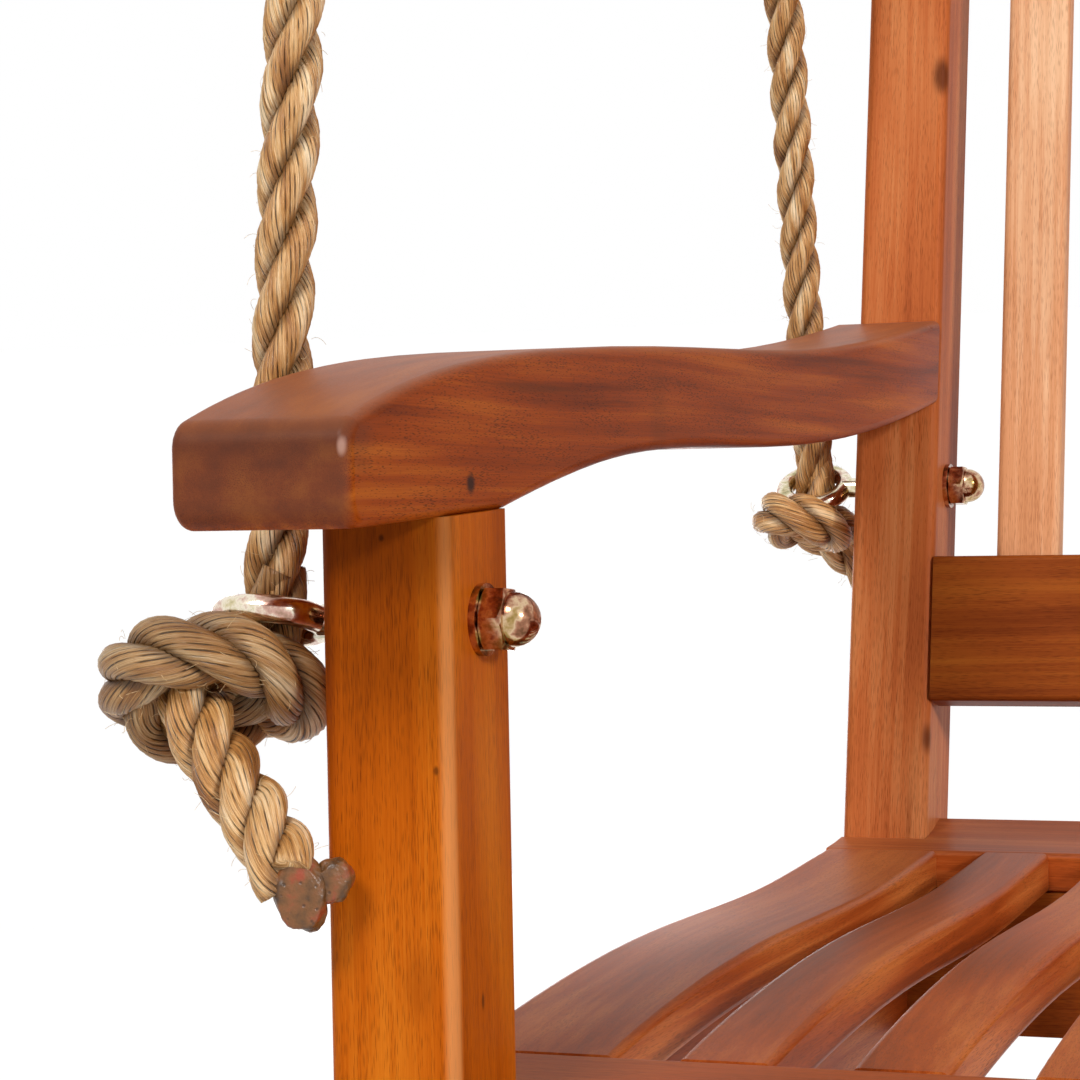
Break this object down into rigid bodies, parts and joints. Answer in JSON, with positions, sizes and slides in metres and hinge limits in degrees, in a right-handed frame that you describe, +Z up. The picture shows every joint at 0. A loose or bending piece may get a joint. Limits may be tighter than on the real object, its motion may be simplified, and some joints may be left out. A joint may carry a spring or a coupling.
{
  "type": "porch swing",
  "caption": "Slatted hardwood porch swing with a contoured seat, S-curved arms and a raked back, hung on knotted ropes from steel eye bolts and ceiling hangers.",
  "frame": {"origin": "midway between the two ceiling hangers, on the ceiling face of their plates", "axes": "+Z up, square to the ceiling; +X across the seat, towards the right-hand side for someone facing the swing; the sitter faces -Y"},
  "size_m": [1.372, 0.7292, 1.5753],
  "materials": {
    "oiled_acacia": "satin",
    "oiled_acacia_arms": "satin",
    "oiled_acacia_seat": "satin",
    "oiled_acacia_pegs": "satin",
    "rope": "satin",
    "whipping_twine": "matte",
    "yellow_zinc_steel": "polished",
    "galvanised_steel": "satin",
    "screw_steel": "satin"
  },
  "bodies": {
    "ceiling_hangers": {"ceiling_plate_left": "galvanised_steel", "ceiling_plate_right": "galvanised_steel", "ceiling_staple_left": "galvanised_steel", "ceiling_staple_right": "galvanised_steel"},
    "swing": {"arm_dowels": "oiled_acacia_pegs", "arm_left": "oiled_acacia_arms", "arm_right": "oiled_acacia_arms", "back_rail_lower": "oiled_acacia", "back_rail_top": "oiled_acacia", "back_slats": "oiled_acacia", "cap_nuts": "yellow_zinc_steel", "eye_bolts": "yellow_zinc_steel", "front_apron": "oiled_acacia", "front_post_left": "oiled_acacia", "front_post_right": "oiled_acacia", "hanger_ring_left": "galvanised_steel", "hanger_ring_right": "galvanised_steel", "rear_apron": "oiled_acacia", "rear_post_left": "oiled_acacia", "rear_post_right": "oiled_acacia", "rope_front_left": "rope", "rope_front_right": "rope", "rope_knot_front_left": "rope", "rope_knot_front_right": "rope", "rope_knot_rear_left": "rope", "rope_knot_rear_right": "rope", "rope_rear_left": "rope", "rope_rear_right": "rope", "rope_tail_front_left": "rope", "rope_tail_front_right": "rope", "rope_tail_rear_left": "rope", "rope_tail_rear_right": "rope", "screw_plugs": "oiled_acacia_pegs", "seat_end_board_left": "oiled_acacia_seat", "seat_end_board_right": "oiled_acacia_seat", "seat_front_board": "oiled_acacia_seat", "seat_rear_board": "oiled_acacia_seat", "seat_slats": "oiled_acacia_seat", "seizing_left": "whipping_twine", "seizing_right": "whipping_twine", "side_apron_left": "oiled_acacia", "side_apron_right": "oiled_acacia", "washers": "yellow_zinc_steel", "wood_screws": "screw_steel"}
  },
  "joints": [
    {"name": "swing_pivot", "type": "hinge", "parent": "ceiling_hangers", "child": "swing", "pos_m": [0, 0, -0.036], "axis": [1, 0, 0], "range_deg": [-25, 25]}
  ]
}
